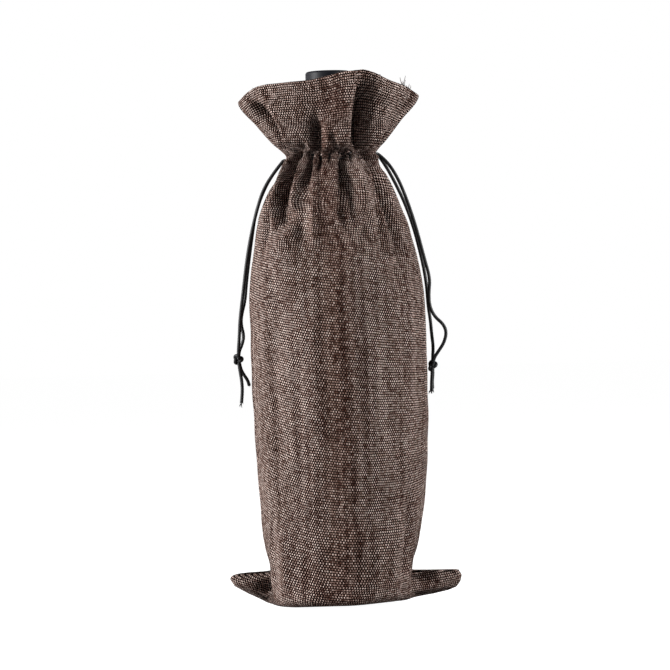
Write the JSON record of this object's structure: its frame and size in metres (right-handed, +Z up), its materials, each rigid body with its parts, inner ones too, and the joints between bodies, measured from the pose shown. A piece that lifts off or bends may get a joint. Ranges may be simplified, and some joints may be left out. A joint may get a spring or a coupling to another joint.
{
  "type": "wine gift bag",
  "caption": "Woven cloth drawstring gift bag standing filled with a wine bottle, mouth gathered at the neck by two knotted cords under an open collar.",
  "frame": {"origin": "on the ground, at the middle of the bag's base", "axes": "+Z up along the bottle; -Y the bag's front, -X its left; the side seams and the cords lie in the plane Y = 0"},
  "size_m": [0.1392, 0.0808, 0.3201],
  "materials": {
    "burlap": "coarse plain weave of brown flecked yarn, matte",
    "thread": "matte sewing thread",
    "cord": "black braided cord, slightly waxed",
    "green_glass": "dark green bottle glass, gloss",
    "cork": "natural cork",
    "foil": "dark satin foil",
    "wine": "red wine"
  },
  "bodies": {
    "bag": {"front_panel": "burlap", "back_panel": "burlap", "front_facing": "burlap", "back_facing": "burlap", "left_side_seam": "burlap", "right_side_seam": "burlap", "bottom_seam": "burlap", "lower_casing_stitching": "thread", "upper_casing_stitching": "thread", "left_cord_in_casing": "cord", "right_cord_in_casing": "cord"},
    "bottle": {"glass_bottle": "green_glass", "cork": "cork", "capsule": "foil", "wine_fill": "wine"},
    "left_cord": {"left_front_strand": "cord", "left_back_strand": "cord"},
    "left_knot_end": {"left_knot": "cord", "left_long_tail": "cord", "left_short_tail": "cord"},
    "right_cord": {"right_front_strand": "cord", "right_back_strand": "cord"},
    "right_knot_end": {"right_knot": "cord", "right_long_tail": "cord", "right_short_tail": "cord"}
  },
  "joints": [
    {"name": "bottle_lift", "type": "slide", "parent": "bag", "child": "bottle", "axis": [0, 0, 1], "range_m": [0, 0.02]},
    {"name": "left_cord_swing", "type": "hinge", "parent": "bag", "child": "left_cord", "pos_m": [-0.0283, 0, 0.2673], "axis": [0, 1, 0], "range_deg": [0, 45]},
    {"name": "left_cord_pull", "type": "slide", "parent": "left_cord", "child": "left_knot_end", "axis": [0, 0, -1], "range_m": [-0.05, 0.02], "deforming": ["left_front_strand", "left_back_strand"]},
    {"name": "right_cord_swing", "type": "hinge", "parent": "bag", "child": "right_cord", "pos_m": [0.0283, 0, 0.2698], "axis": [0, -1, 0], "range_deg": [0, 45]},
    {"name": "right_cord_pull", "type": "slide", "parent": "right_cord", "child": "right_knot_end", "axis": [0, 0, -1], "range_m": [-0.05, 0.02], "deforming": ["right_front_strand", "right_back_strand"]}
  ]
}
